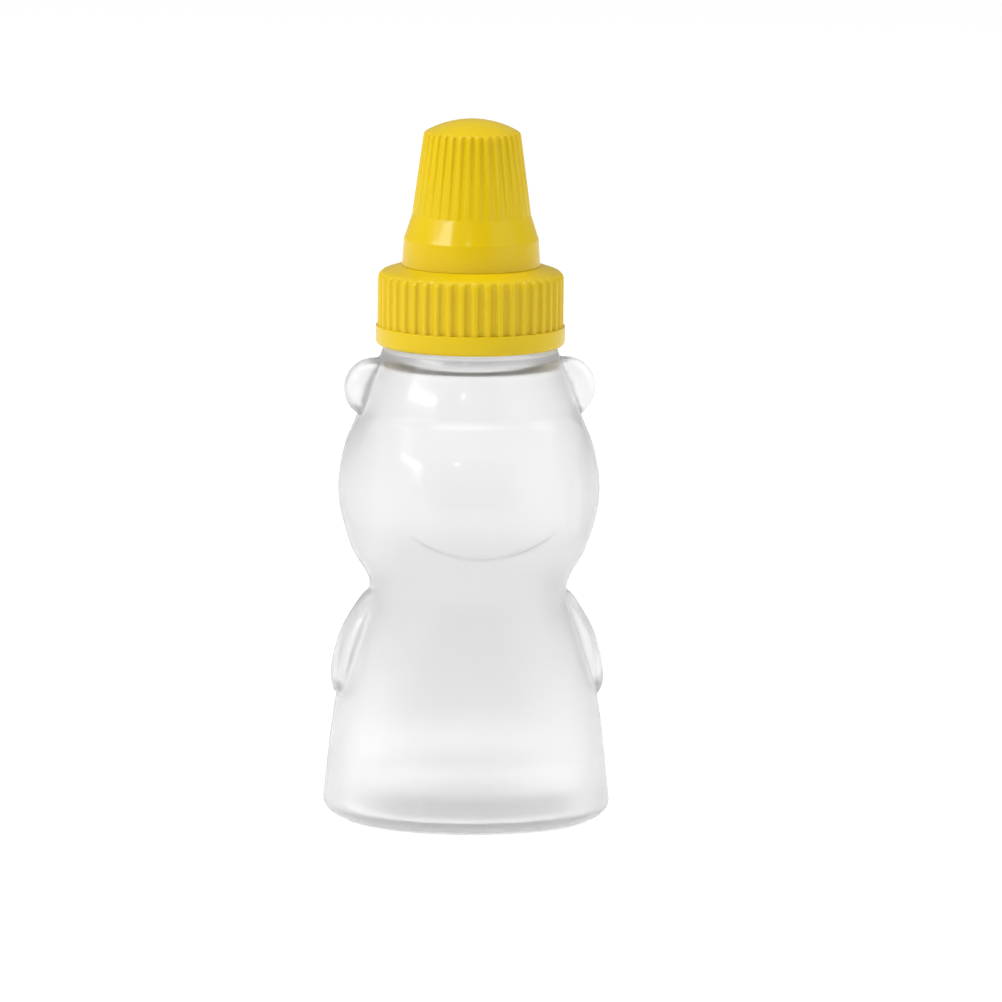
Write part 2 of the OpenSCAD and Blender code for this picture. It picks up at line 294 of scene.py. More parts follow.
@dataclass(frozen=True)
class GroupRecipe:
    """A node group that is built once, with its interface."""

    name: str = ""
    kind: str = "ShaderNodeTree"
    sockets: tuple[SocketRow, ...] = ()

    def tree(self) -> bpy.types.NodeTree:
        """Builds the group once, and returns it."""
        made = bpy.data.node_groups.get(self.name)
        if made is None:
            made = bpy.data.node_groups.new(self.name, self.kind)
            for direction, socket, labels in self.sockets:
                for label in labels:
                    made.interface.new_socket(label, in_out=direction, socket_type=socket)
            graph = NodeGraph(made)
            self.fill(graph, graph.add("NodeGroupInput").outputs, graph.add("NodeGroupOutput"))
        return made

    def fill(self, graph: NodeGraph, given: bpy.types.NodeOutputs, out: Node) -> None:
        """Puts the group's nodes in, between what it is given and what it puts out."""
        raise NotImplementedError


@dataclass(frozen=True)
class MouldedSurface(GroupRecipe):
    """Shader group for the skin of a moulded or blown plastic.

    It puts out a height for a Bump node, a change of roughness and a mask of clouding.
    """

    name: str = "moulded surface"
    sockets: tuple[SocketRow, ...] = (
        ("INPUT", "NodeSocketFloat", ("Grain Size", "Grain", "Ripple Size", "Ripple")),
        ("OUTPUT", "NodeSocketFloat", ("Height", "Roughness Change", "Cloud")),
    )

    def fill(self, graph: NodeGraph, given: bpy.types.NodeOutputs, out: Node) -> None:
        """Puts in the fine grain, the slow ripple and the clouding."""
        place = graph.here()
        fine_scale = graph.math("DIVIDE", 1.0, given["Grain Size"])
        fine = graph.noise(place, fine_scale, Detail=3.0, Roughness=0.55)
        flow = graph.add("ShaderNodeMapping", vector_type="TEXTURE")
        graph.inputs(flow, Vector=place, Scale=(1.0, 1.0, 2.6))
        slow_scale = graph.math("DIVIDE", 1.0, given["Ripple Size"])
        wave = graph.noise(flow.outputs[0], slow_scale, Detail=1.5, Roughness=0.4, Distortion=0.3)
        cloud = graph.noise(place, 95.0, Detail=2.0, Roughness=0.5)
        grain = graph.math("MULTIPLY", fine, given["Grain"])
        ripple = graph.math("MULTIPLY", wave, given["Ripple"])
        rub = graph.spread(fine, 0.35, 0.7, -0.5, 0.5)
        haze = graph.spread(wave, 0.3, 0.75, -0.5, 0.5)
        graph.inputs(
            out,
            Height=graph.math("ADD", grain, ripple),
            Roughness_Change=graph.math("ADD", rub, haze),
            Cloud=graph.spread(cloud, 0.3, 0.72),
        )


@dataclass(frozen=True)
class HandlingWear(GroupRecipe):
    """Shader group for faint rubbed scratches from handling, as a mask."""

    name: str = "handling wear"
    sockets: tuple[SocketRow, ...] = (
        ("INPUT", "NodeSocketFloat", ("Scratch Size", "Amount")),
        ("OUTPUT", "NodeSocketFloat", ("Mask",)),
    )

    def fill(self, graph: NodeGraph, given: bpy.types.NodeOutputs, out: Node) -> None:
        """Puts in two layers of scratches and the patches that are rubbed."""
        place = graph.here()
        scale = graph.math("DIVIDE", 1.0, given["Scratch Size"])
        lines = []
        for turn in (0.5, 1.9):
            lay = graph.add("ShaderNodeMapping")
            rotation = (turn, turn * 0.6, turn * 1.7)
            graph.inputs(lay, Vector=place, Rotation=rotation, Scale=(1.0, 1.0, 0.06))
            streak = graph.noise(lay.outputs[0], scale, Detail=2.0, Roughness=0.6)
            lines.append(graph.spread(streak, 0.66, 0.74))
        rubbed = graph.spread(graph.noise(place, 140.0, Detail=1.0), 0.48, 0.7)
        mask = graph.math("MULTIPLY", graph.math("MAXIMUM", *lines), rubbed)
        graph.inputs(out, Mask=graph.math("MULTIPLY", mask, given["Amount"]))


@dataclass(frozen=True)
class Finish:
    """What the finishes share: two close colours, and a surface with grain, ripple and wear."""

    name: str
    colour: Colour
    cloud: Colour
    grain: float
    ripple: float
    wear: float
    roughness: float
    roughness_change: float

    def start(self) -> tuple[bpy.types.Material, NodeGraph, Node, Socket]:
        """Makes a material with its shared groups placed, and its bump and roughness linked.

        Returns:
            The material, its graph, its Principled shader and the mask of clouding.
        """
        material, graph, shader = new_material(self.name)
        surface = graph.add("ShaderNodeGroup", node_tree=MouldedSurface().tree())
        graph.inputs(
            surface, Grain_Size=0.0005, Grain=self.grain, Ripple_Size=0.0075, Ripple=self.ripple
        )
        rubs = graph.add("ShaderNodeGroup", node_tree=HandlingWear().tree())
        graph.inputs(rubs, Scratch_Size=0.0009, Amount=self.wear)
        bump = graph.add("ShaderNodeBump")
        graph.inputs(bump, Strength=1.0, Distance=0.001, Height=surface.outputs["Height"])
        change = surface.outputs["Roughness Change"]
        moved = graph.math("MULTIPLY_ADD", change, self.roughness_change, self.roughness)
        worn = graph.math("MULTIPLY_ADD", rubs.outputs["Mask"], 0.25, moved)
        graph.inputs(shader, Normal=bump.outputs[0], Roughness=worn)
        return material, graph, shader, surface.outputs["Cloud"]


@dataclass(frozen=True)
class MilkyPolyethylene(Finish):
    """Blown soft polyethylene: a clear-white wall that blurs what is behind it, with a waxy gloss.

    Its colour has painted light and shade in bands by height and by distance from the middle: painted
    shade darkens the belly's middle and the seat, painted light brightens the sides, the heel, the base
    and the shoulder, and a painted shadow darkens the foot of the neck under the closure.
    """

    name: str = "milky polyethylene"
    colour: Colour = (0.936, 0.936, 0.936)
    cloud: Colour = (0.921, 0.921, 0.921)
    grain: float = 0.003
    ripple: float = 0.05
    wear: float = 0.5
    roughness: float = 0.37
    roughness_change: float = 0.07
    # thick is painted shade: the darker tone of the belly's middle and the seat band.
    thick: Colour = (0.85, 0.85, 0.85)
    # painted light: the lighter tone of the sides, the heel, the base band and the shoulder ring.
    painted_light: Colour = (0.987, 0.987, 0.987)
    # neck is painted shadow: the dark tone at the foot of the neck, under the closure.
    neck: Colour = (0.52, 0.52, 0.52)
    absorbing: Colour = (0.9, 0.9, 0.9)
    density: float = 170.0
    # Spans of the painted light: across the sides, and up from the standing surface at the heel.
    side: Point = (0.0075, 0.0145)
    heel: Point = (0.0014, 0.0007)
    # Bands by height: the seat band is painted shade, the base and shoulder bands painted light, the
    # neck band a painted shadow.
    seat_shade_band: Band = ((0.0014, 0.0024), (0.0036, 0.0046))
    base_light_band: Band = ((0.0042, 0.005), (0.0066, 0.0088))
    belly_shade_band: Band = ((0.004, 0.016), (0.028, 0.036))
    shoulder_light_band: Band = ((0.0498, 0.0504), (0.0511, 0.0514))
    neck_shadow_band: Band = ((0.0511, 0.0519), (0.0521, 0.0524))

    def material(self) -> bpy.types.Material:
        """Builds the material."""
        material, graph, shader, cloud = self.start()
        parts = graph.inputs(graph.add("ShaderNodeSeparateXYZ"), Vector=graph.here()).outputs
        up = parts["Z"]
        # Painted light: the sides, which the lamps light from the left and right, are made lighter.
        side = graph.spread(graph.math("ABSOLUTE", parts["X"]), *self.side)
        middle = graph.math("SUBTRACT", 1.0, side)
        # Painted shade: darker in the belly's middle, away from the lit sides, and in the seat band near
        # the base.
        thick = graph.math("MULTIPLY", graph.window(up, *self.belly_shade_band), middle)
        thick = graph.math("MAXIMUM", thick, graph.window(up, *self.seat_shade_band))
        # Painted light: lighter at the sides, the heel, a band above the base and a ring at the
        # shoulder's crease.
        painted_light = graph.math("MAXIMUM", side, graph.spread(up, *self.heel))
        for band in (self.base_light_band, self.shoulder_light_band):
            painted_light = graph.math("MAXIMUM", painted_light, graph.window(up, *band))
        # Painted shadow: darkens the neck's foot under the closure's rim.
        neck = graph.window(up, *self.neck_shadow_band)
        # Layers the painted shade, the painted light and the painted neck shadow over the clouded
        # colour.
        layer = graph.blend(cloud, self.colour, self.cloud)
        for mask, colour in ((thick, self.thick), (painted_light, self.painted_light), (neck, self.neck)):
            layer = graph.blend(mask, layer, colour)
        graph.inputs(
            shader,
            Base_Color=layer,
            IOR=1.2,
            Transmission_Weight=0.96,
            Coat_Weight=0.34,
            Coat_Roughness=0.13,
            Coat_IOR=1.5,
        )
        depth = graph.add("ShaderNodeVolumeAbsorption")
        graph.inputs(depth, Color=(*self.absorbing, 1.0), Density=self.density)
        graph.inputs(material.node_tree.nodes["Material Output"], Volume=depth.outputs[0])
        return material


@dataclass(frozen=True)
class GlossPolypropylene(Finish):
    """Moulded yellow polypropylene with a soft gloss and a little depth."""

    name: str = "yellow polypropylene"
    colour: Colour = (0.715, 0.507, 0.003)
    cloud: Colour = (0.69, 0.487, 0.003)
    grain: float = 0.006
    ripple: float = 0.03
    wear: float = 0.7
    roughness: float = 0.36
    roughness_change: float = 0.05

    def material(self) -> bpy.types.Material:
        """Builds the material."""
        material, graph, shader, cloud = self.start()
        graph.inputs(
            shader,
            Base_Color=graph.blend(cloud, self.colour, self.cloud),
            IOR=1.49,
            Specular_IOR_Level=0.18,
            Subsurface_Weight=0.12,
            Subsurface_Radius=(1.0, 0.62, 0.08),
            Subsurface_Scale=0.0008,
            Coat_Weight=0.22,
            Coat_Roughness=0.1,
        )
        return material


@dataclass(frozen=True)
class FoamedPolyethylene(Finish):
    """The liner's white foamed sheet, with fine closed cells."""

    name: str = "foamed polyethylene"
    colour: Colour = (0.86, 0.86, 0.83)
    cloud: Colour = (0.8, 0.8, 0.76)
    grain: float = 0.05
    ripple: float = 0.04
    wear: float = 0.9
    roughness: float = 0.7
    roughness_change: float = 0.1
    cell_scale: float = 3200.0
    cell_depth: float = 0.00006

    def material(self) -> bpy.types.Material:
        """Builds the material, with a second bump for the cells."""
        material, graph, shader, _ = self.start()
        cells = graph.add("ShaderNodeTexVoronoi", feature="F1")
        graph.inputs(cells, Vector=graph.here(), Scale=self.cell_scale)
        depth = cells.outputs["Distance"]
        skin = shader.inputs["Normal"].links[0].from_socket
        bump = graph.add("ShaderNodeBump")
        graph.inputs(bump, Strength=0.6, Distance=self.cell_depth, Height=depth, Normal=skin)
        colour = graph.blend(graph.spread(depth, 0.2, 0.75), self.cloud, self.colour)
        graph.inputs(shader, Normal=bump.outputs[0], Base_Color=colour)
        return material


@dataclass(frozen=True)
class GrownShape(GroupRecipe):
    """Geometry Nodes tree whose result is one welded, smooth mesh with its finish."""

    kind: str = "GeometryNodeTree"

    def close(self, graph: NodeGraph, mesh: Socket, finish: Socket, out: Node) -> None:
        """Welds the mesh, shades it smooth, realizes it and gives it its finish."""
        for kind, values in (
            ("GeometryNodeMergeByDistance", {"Distance": WELD_DISTANCE}),
            ("GeometryNodeSetShadeSmooth", {}),
            ("GeometryNodeRealizeInstances", {}),
            ("GeometryNodeSetMaterial", {"Material": finish}),
        ):
            mesh = graph.inputs(graph.add(kind), Geometry=mesh, **values).outputs[0]
        graph.inputs(out, Geometry=mesh)


@dataclass(frozen=True)
class TurnedRibs(GrownShape):
    """Geometry Nodes tree that turns a half profile round the axis and sinks grip grooves into it.

    The profile is an edge line in the XZ plane. Its point attribute crest gives the radius at which the
    ribs stand at that point's height, and is large where nothing is grooved.
    """

    name: str = "turned ribs"
    sockets: tuple[SocketRow, ...] = (
        ("INPUT", "NodeSocketGeometry", ("Geometry",)),
        ("INPUT", "NodeSocketInt", ("Segments", "Ribs")),
        ("INPUT", "NodeSocketFloat", ("Groove Depth", "Groove Share", "Edge Softness")),
        ("INPUT", "NodeSocketMaterial", ("Finish",)),
        ("OUTPUT", "NodeSocketGeometry", ("Geometry",)),
    )

    def fill(self, graph: NodeGraph, given: bpy.types.NodeOutputs, out: Node) -> None:
        """Lays a grid of the profile's points by the segments, and puts each point in its place."""
        profile, segments = given["Geometry"], given["Segments"]
        size = graph.add("GeometryNodeAttributeDomainSize", component="MESH")
        count = graph.inputs(size, Geometry=profile).outputs["Point Count"]
        grid = graph.inputs(
            graph.add("GeometryNodeMeshGrid"),
            Size_X=1.0,
            Size_Y=1.0,
            Vertices_X=graph.math("ADD", segments, 1.0),
            Vertices_Y=count,
        )
        index = graph.add("GeometryNodeInputIndex").outputs[0]
        column = graph.math("FLOOR", graph.math("DIVIDE", graph.math("ADD", index, 0.5), count))
        row = graph.math("SUBTRACT", index, graph.math("MULTIPLY", column, count))
        position = graph.add("GeometryNodeInputPosition")
        named = graph.add("GeometryNodeInputNamedAttribute", data_type="FLOAT")
        graph.inputs(named, Name="crest")
        found = []
        for kind, source in (("FLOAT_VECTOR", position), ("FLOAT", named)):
            pick = graph.add("GeometryNodeSampleIndex", data_type=kind, domain="POINT")
            graph.inputs(pick, Geometry=profile, Value=source.outputs[0], Index=row)
            found.append(pick.outputs[0])
        spot, crest = found
        parts = graph.inputs(graph.add("ShaderNodeSeparateXYZ"), Vector=spot).outputs
        turn = graph.math("MULTIPLY", graph.math("DIVIDE", column, segments), FULL_TURN)
        wave = graph.math("COSINE", graph.math("MULTIPLY", turn, given["Ribs"]))
        lifted = graph.math("MULTIPLY_ADD", wave, 0.75, given["Groove Share"])
        groove = graph.math("MULTIPLY", graph.spread(lifted, 0.0, 1.0), given["Groove Depth"])
        over = graph.math("SUBTRACT", parts["X"], graph.math("SUBTRACT", crest, groove))
        soft = graph.math("MULTIPLY", given["Edge Softness"], given["Edge Softness"])
        root = graph.math("SQRT", graph.math("MULTIPLY_ADD", over, over, soft))
        sunk = graph.math("MULTIPLY", graph.math("ADD", over, root), 0.5)
        radius = graph.math("SUBTRACT", parts["X"], sunk)
        move = graph.add("GeometryNodeSetPosition")
        place = graph.polar(radius, turn, parts["Z"])
        graph.inputs(move, Geometry=grid.outputs["Mesh"], Position=place)
        self.close(graph, move.outputs[0], given["Finish"], out)


@dataclass(frozen=True)
class ThreadRidge(GrownShape):
    """Geometry Nodes tree that sweeps a rounded ridge along a right-hand helix, with sunk ends."""

    name: str = "thread ridge"
    sockets: tuple[SocketRow, ...] = (
        ("INPUT", "NodeSocketGeometry", ("Geometry",)),
        ("INPUT", "NodeSocketFloat", ("Radius", "Lead", "Start Turn", "Turns", "Base Height")),
        ("INPUT", "NodeSocketFloat", ("Ridge Radius",)),
        ("INPUT", "NodeSocketInt", ("Steps",)),
        ("INPUT", "NodeSocketMaterial", ("Finish",)),
        ("OUTPUT", "NodeSocketGeometry", ("Geometry",)),
    )

    def fill(self, graph: NodeGraph, given: bpy.types.NodeOutputs, out: Node) -> None:
        """Bends a line into the helix and sweeps the ridge's ring along it."""
        line = graph.add("GeometryNodeCurvePrimitiveLine").outputs[0]
        steps = graph.add("GeometryNodeResampleCurve")
        graph.inputs(steps, Curve=line, Count=given["Steps"])
        along = graph.add("GeometryNodeSplineParameter").outputs["Factor"]
        turned = graph.math("MULTIPLY_ADD", along, given["Turns"], given["Start Turn"])
        angle = graph.math("MULTIPLY", turned, FULL_TURN)
        near = graph.math("MINIMUM", along, graph.math("SUBTRACT", 1.0, along))
        full = graph.spread(near, 0.0, 0.1, 0.3, 1.0)
        ridge = given["Ridge Radius"]
        sink = graph.math("MULTIPLY", graph.math("SUBTRACT", 1.0, full), ridge)
        radius = graph.math("ADD", given["Radius"], sink)
        height = graph.math("MULTIPLY_ADD", turned, given["Lead"], given["Base Height"])
        bend = graph.add("GeometryNodeSetPosition")
        graph.inputs(bend, Geometry=steps.outputs[0], Position=graph.polar(radius, angle, height))
        ring = graph.add("GeometryNodeCurvePrimitiveCircle")
        graph.inputs(ring, Resolution=14, Radius=ridge)
        sweep = graph.add("GeometryNodeCurveToMesh")
        graph.inputs(sweep, Curve=bend.outputs[0], Profile_Curve=ring.outputs[0], Fill_Caps=True)
        graph.inputs(sweep, Scale=full)
        self.close(graph, sweep.outputs[0], given["Finish"], out)


def grown(
    name: str, base: bpy.types.Mesh, tree: bpy.types.NodeTree, values: dict[str, object]
) -> bpy.types.Object:
    """Runs a Geometry Nodes tree on a mesh and keeps its result as a plain mesh.

    Args:
        name: The new object's name.
        base: The mesh that the tree starts from.
        tree: The tree.
        values: The tree's inputs by name.

    Returns:
        The object with its plain mesh.
    """
    thing = bpy.data.objects.new(name, base)
    bpy.context.scene.collection.objects.link(thing)
    modifier = thing.modifiers.new("grow", "NODES")
    modifier.node_group = tree
    for item in tree.interface.items_tree:
        if item.item_type == "SOCKET" and item.in_out == "INPUT" and item.name in values:
            modifier[item.identifier] = values[item.name]
    bpy.context.view_layer.update()
    graph = bpy.context.evaluated_depsgraph_get()
    plain = bpy.data.meshes.new_from_object(thing.evaluated_get(graph), depsgraph=graph)
    thing.modifiers.remove(modifier)
    work = bmesh.new()
    work.from_mesh(plain)
    bmesh.ops.dissolve_degenerate(work, edges=work.edges, dist=SLIVER_LENGTH)
    bmesh.ops.recalc_face_normals(work, faces=work.faces)
    work.to_mesh(plain)
    work.free()
    plain.name = name
    thing.data = plain
    crest = plain.attributes.get("crest")
    if crest is not None:
        plain.attributes.remove(crest)
    return thing


@dataclass
class TurnedShell:
    """A closure or overcap: a rounded half profile turned round the axis, with grip ribs."""

    name: str
    body: Body
    slot: Slot
    ribs: int
    groove: float
    share: float = 0.62
    samples: int = 12
    softness: float = 0.05
    rounding_steps: int = 5

    def corners(self) -> list[tuple[float, float, float]]:
        """The half profile's corners, each with its rounding."""
        raise NotImplementedError

    def crest(self, r: float, z: float) -> float:
        """Radius of the ribs at a height, or a large one where nothing is grooved."""
        raise NotImplementedError

    def closed(self) -> bool:
        """Whether the half profile is a ring that stays clear of the axis."""
        return True

    def profile(self) -> bpy.types.Mesh:
        """The half profile as a line of edges with its crest attribute."""
        points = rounded(self.corners(), self.rounding_steps, self.closed())
        if self.closed():
            points.append(points[0])
        mesh = bpy.data.meshes.new(self.name + "_profile")
        edges = [(i, i + 1) for i in range(len(points) - 1)]
        mesh.from_pydata([(r * MM, 0.0, z * MM) for r, z in points], edges, [])
        crest = mesh.attributes.new("crest", "FLOAT", "POINT")
        crest.data.foreach_set("value", [self.crest(r, z) * MM for r, z in points])
        return mesh

    def build(self, finish: bpy.types.Material) -> bpy.types.Object:
        """Makes the piece, sets it on its body and has it stand for its node.

        Args:
            finish: Its material.

        Returns:
            The piece.
        """
        piece = grown(self.name, self.profile(), TurnedRibs().tree(), {
            "Segments": self.ribs * self.samples,
            "Ribs": self.ribs,
            "Groove Depth": self.groove * MM,
            "Groove Share": self.share,
            "Edge Softness": self.softness * MM,
            "Finish": finish,
        })
        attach(piece, self.body.value)
        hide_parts(self.body.value)
        return piece


@dataclass
class ScrewClosure(TurnedShell):
    """The ribbed screw closure with its band, its deck, and its collar and hollow spout."""

    name: str = "closure_shell"
    body: Body = Body.CLOSURE
    slot: Slot = Slot.CLOSURE
    ribs: int = 44
    groove: float = 0.38
    bottom: float = 52.8
    deck: float = 61.7
    deck_thickness: float = 1.3
    bore: float = 9.15
    crest_radius: float = 10.35
    band_radius: float = 10.51
    band_height: float = 2.2
    deck_round: float = 1.6
    deck_flat: float = 7.89
    deck_slope: float = 18.0
    collar_radius: float = 6.3
    collar_height: float = 1.5
    spout_height: float = 13.8
    spout_foot: float = 4.1
    spout_tip: float = 1.9
    spout_bore: float = 2.7
    orifice: float = 0.9
    orifice_length: float = 2.0
    thread_lead: float = 3.0
    thread_level: float = 54.2
    thread_start: float = 0.36
    thread_turns: float = 1.2
    thread_ridge: float = 0.6
    thread_steps: int = 150

    def corners(self) -> list[tuple[float, float, float]]:
        """The half profile's corners, each with its rounding."""
        under = self.deck - self.deck_thickness
        band = self.bottom + self.band_height
        tip = self.deck + self.spout_height
        edge = self.deck - (self.crest_radius - self.deck_flat) * math.tan(math.radians(self.deck_slope))
        return [
            (self.bore, self.bottom, 0.15),
            (self.band_radius, self.bottom, 0.65),
            (self.band_radius, band, 0.22),
            (self.crest_radius, band + 0.01, 0.05),
            (self.crest_radius, band + 0.35, 0.0),
            (self.crest_radius, edge, self.deck_round * 0.72),
            (self.deck_flat, self.deck, 0.3),
            (self.collar_radius, self.deck, 0.12),
            (self.collar_radius, self.deck + self.collar_height, 0.3),
            (self.spout_foot, self.deck + self.collar_height, 0.25),
            (self.spout_tip, tip, 0.35),
            (self.orifice, tip, 0.12),
            (self.orifice, tip - self.orifice_length, 0.1),
            (self.spout_bore, self.deck, 0.5),
            (self.spout_bore, under, 0.2),
            (self.bore, under, 0.3),
        ]

    def crest(self, r: float, z: float) -> float:
        """Radius of the ribs above the band, and a large one elsewhere."""
        if z > self.bottom + self.band_height and r > self.bore + 0.05:
            return self.crest_radius
        return NO_CREST

    def thread(self, finish: bpy.types.Material) -> bpy.types.Object:
        """Makes the thread inside the skirt.

        Args:
            finish: Its material.

        Returns:
            The thread's piece.
        """
        base = bpy.data.meshes.new("closure_thread_base")
        piece = grown("closure_thread", base, ThreadRidge().tree(), {
            "Radius": (self.bore + 0.02) * MM,
            "Lead": self.thread_lead * MM,
            "Start Turn": self.thread_start,
            "Turns": self.thread_turns,
            "Base Height": (self.thread_level - self.thread_lead / 2) * MM,
            "Ridge Radius": self.thread_ridge * MM,
            "Steps": self.thread_steps,
            "Finish": finish,
        })
        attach(piece, self.body.value)
        return piece


@dataclass
class RibbedOvercap(TurnedShell):
    """The tapered overcap: plain skirt, flare, ribbed cone and domed top, with its plugging pin."""

    name: str = "overcap_shell"
    body: Body = Body.OVERCAP
    slot: Slot = Slot.OVERCAP
    ribs: int = 34
    groove: float = 0.3
    samples: int = 14
    foot: float = 61.7
    height: float = 16.3
    skirt_radius: float = 7.69
    skirt_height: float = 3.0
    skirt_draft: float = 0.2
    rib_foot: float = 5.7
    rib_foot_radius: float = 6.6
    rib_top_radius: float = 5.4
    dome: float = 1.5
    socket: float = 6.35
    collar_height: float = 1.5
    wall: float = 1.15
    top_thickness: float = 1.4
    pin_radius: float = 0.84
    pin_low: float = 12.8
    dome_steps: int = 9
    crest_fade: float = 0.08

    def closed(self) -> bool:
        """The overcap's half profile starts and ends on the axis."""
        return False

    def corners(self) -> list[tuple[float, float, float]]:
        """The half profile's corners, each with its rounding."""
        flare = self.skirt_radius - self.skirt_draft
        cone_top = self.height - self.dome
        hollow = self.height - self.top_thickness
        dome_radius = (self.rib_top_radius ** 2 + self.dome ** 2) / (2 * self.dome)
        arc = []
        for k in range(self.dome_steps):
            r = self.rib_top_radius * k / self.dome_steps
            z = self.height - dome_radius + math.sqrt(dome_radius ** 2 - r * r)
            arc.append((r, z, 0.0))
        line = arc + [
            (self.rib_top_radius, cone_top, 0.8),
            (self.rib_foot_radius, self.rib_foot, 0.4),
            (flare - 0.14, self.skirt_height + 0.4, 0.45),
            (flare, self.skirt_height, 0.4),
            (self.skirt_radius, 0.0, 0.08),
            (self.socket, 0.0, 0.2),
            (self.socket, self.collar_height + 0.3, 0.2),
            (self.rib_foot_radius - self.wall, self.rib_foot, 0.5),
            (self.rib_top_radius - self.wall, hollow, 0.5),
            (self.pin_radius, hollow, 0.2),
            (self.pin_radius, self.pin_low, 0.2),
            (0.0, self.pin_low, 0.0),
        ]
        return [(r, z + self.foot, radius) for r, z, radius in line]

    def crest(self, r: float, z: float) -> float:
        """Radius of the leaned ribs above the flare, and a large one elsewhere."""
        up = (z - self.foot - self.rib_foot) / (self.height - self.dome - self.rib_foot)
        line = self.rib_foot_radius + (self.rib_top_radius - self.rib_foot_radius) * up
        if up < 0.0 or r < line - self.wall * 0.8 or z > self.foot + self.height - 0.6:
            return NO_CREST
        faded = 1.0 - float(smooth(np.array(up / self.crest_fade)))
        return line + self.groove * faded


@dataclass(frozen=True)
class Section:
    """One section of the plain skin, in millimetres."""

    height: float
    half_width: float
    half_depth: float
    squareness: float


@dataclass
class BlownBottle:
    """The blown bottle: a bear's body and head with ears, arms and face, and the threaded neck."""

    sections: tuple[Section, ...] = (
        Section(0.0, 15.9, 15.8, 2.1),
        Section(1.9, 15.9, 15.8, 2.1),
        Section(13.5, 14.45, 14.2, 2.4),
        Section(20.0, 12.7, 12.6, 2.3),
        Section(25.9, 10.9, 11.4, 2.3),
        Section(30.3, 13.1, 12.5, 2.1),
        Section(36.0, 14.5, 13.9, 2.1),
        Section(41.2, 13.9, 13.35, 2.1),
        Section(45.0, 12.42, 12.25, 2.1),
        Section(48.2, 11.42, 11.38, 2.05),
        Section(51.4, 10.1, 10.05, 2.0),
    )
    wall: float = 0.9
    floor: float = 1.1
    foot: float = 0.3
    foot_inset: float = 1.7
    foot_width: float = 2.4
    heel: float = 1.6
    push_up: float = 0.45
    ear_x: float = 10.6
    ear_z: float = 48.0
    ear_radius: float = 3.4
    ear_thickness: float = 4.4
    arm_z: float = 19.5
    arm_length: float = 11.4
    arm_out: float = 1.65
    arm_thickness: float = 7.2
    brow_z: float = 45.4
    brow_half: float = 9.6
    brow_radius: float = 2.0
    brow_below: float = 0.7
    brow_above: float = 0.5
    face_out: float = 0.38
    face_past: float = 1.4
    face_edge: float = 2.4
    face_rise: float = 3.0
    chin_z: float = 30.6
    chin_radius: float = 11.0
    muzzle_out: float = 0.75
    muzzle_half: float = 8.6
    muzzle_spread: float = 3.4
    muzzle_fall: float = 4.5
    muzzle_low: float = 5.0
    muzzle_edge: float = 0.45
    cheek_out: float = 0.9
    cheek_half: float = 12.0
    cheek_top: float = 44.3
    cheek_fall: float = 9.2
    cheek_low: float = 1.6
    cheek_rise: float = 6.0
    cheek_edge: float = 4.5
    shoulder: float = 51.4
    shoulder_round: float = 0.05
    neck: float = 8.2
    mouth: float = 7.2
    rim: float = 59.6
    bead: float = 1.83
    bead_height: float = 1.05
    thread_start: float = 54.2
    thread_lead: float = 3.0
    thread_turns: float = 1.3
    thread_height: float = 0.7
    thread_half: float = 0.78
    thread_flank: float = 0.5
    thread_runout: float = 0.08
    rim_round: float = 0.3
    seam: float = 0.045
    seam_width: float = 0.16
    lobe_power: float = 3.2
    around: int = 256
    body_rings: int = 46
    face_rings: int = 92
    brow_rings: int = 13
    crown_rings: int = 26
    thread_rings: int = 44
    inner_head_rings: int = 58
    inner_body_rings: int = 34
    inner_softness: float = 1.2
    crease: float = 1.0
    chin_share: float = 0.48
    waist: float = 25.9
    angles: np.ndarray = field(init=False)

    def __post_init__(self) -> None:
        """Places the directions of the rings' points."""
        self.angles = self.directions()

    def directions(self) -> np.ndarray:
        """Directions around the axis, closer together at the face and at the mould's parting line."""
        fine = np.linspace(-0.5 * math.pi, 1.5 * math.pi, 20001)
        degrees = np.degrees(fine)
        weight = np.ones_like(degrees)
        for middle, gain, width in (
            (-90.0, 0.9, 42.0),
            (270.0, 0.9, 42.0),
            (0.0, 1.6, 5.0),
            (0.0, 0.7, 22.0),
            (180.0, 1.6, 5.0),
            (180.0, 0.7, 22.0),
        ):
            weight += gain * np.exp(-((degrees - middle) / width) ** 2)
        grown_up = np.concatenate(([0.0], np.cumsum((weight[1:] + weight[:-1]) / 2)))
        share = np.arange(self.around) / self.around * grown_up[-1]
        return np.interp(share, grown_up, fine)

    def section(self, z: np.ndarray) -> tuple[np.ndarray, np.ndarray, np.ndarray]:
        """Half width, half depth and squareness at each height, on a smooth curve.

        Args:
            z: Heights.

        Returns:
            The three values at each height.
        """
        knots = np.array([s.height for s in self.sections])
        table = np.array([(s.half_width, s.half_depth, s.squareness) for s in self.sections])
        last = len(knots) - 1
        low = np.maximum(np.arange(last + 1) - 1, 0)
        high = np.minimum(np.arange(last + 1) + 1, last)
        slopes = (table[high] - table[low]) / (knots[high] - knots[low])[:, None]
        i = np.clip(np.searchsorted(knots, z, side="right") - 1, 0, last - 1)
        span = (knots[i + 1] - knots[i])[..., None]
        t = (z - knots[i])[..., None] / span
        rise = table[i + 1] - table[i]
        start = slopes[i] * span
        end = slopes[i + 1] * span
        value = table[i] + t * start + t ** 2 * (3 * rise - 2 * start - end)
        value = value + t ** 3 * (start + end - 2 * rise)
        return value[..., 0], value[..., 1], value[..., 2]

    def lobe(self, across: np.ndarray, half: np.ndarray) -> np.ndarray:
        """A rounded bulge of a half thickness, which fades out at its sides."""
        ratio = np.abs(across) / np.maximum(half, 1e-6)
        return np.sqrt(np.maximum(0.0, 1.0 - ratio ** self.lobe_power))

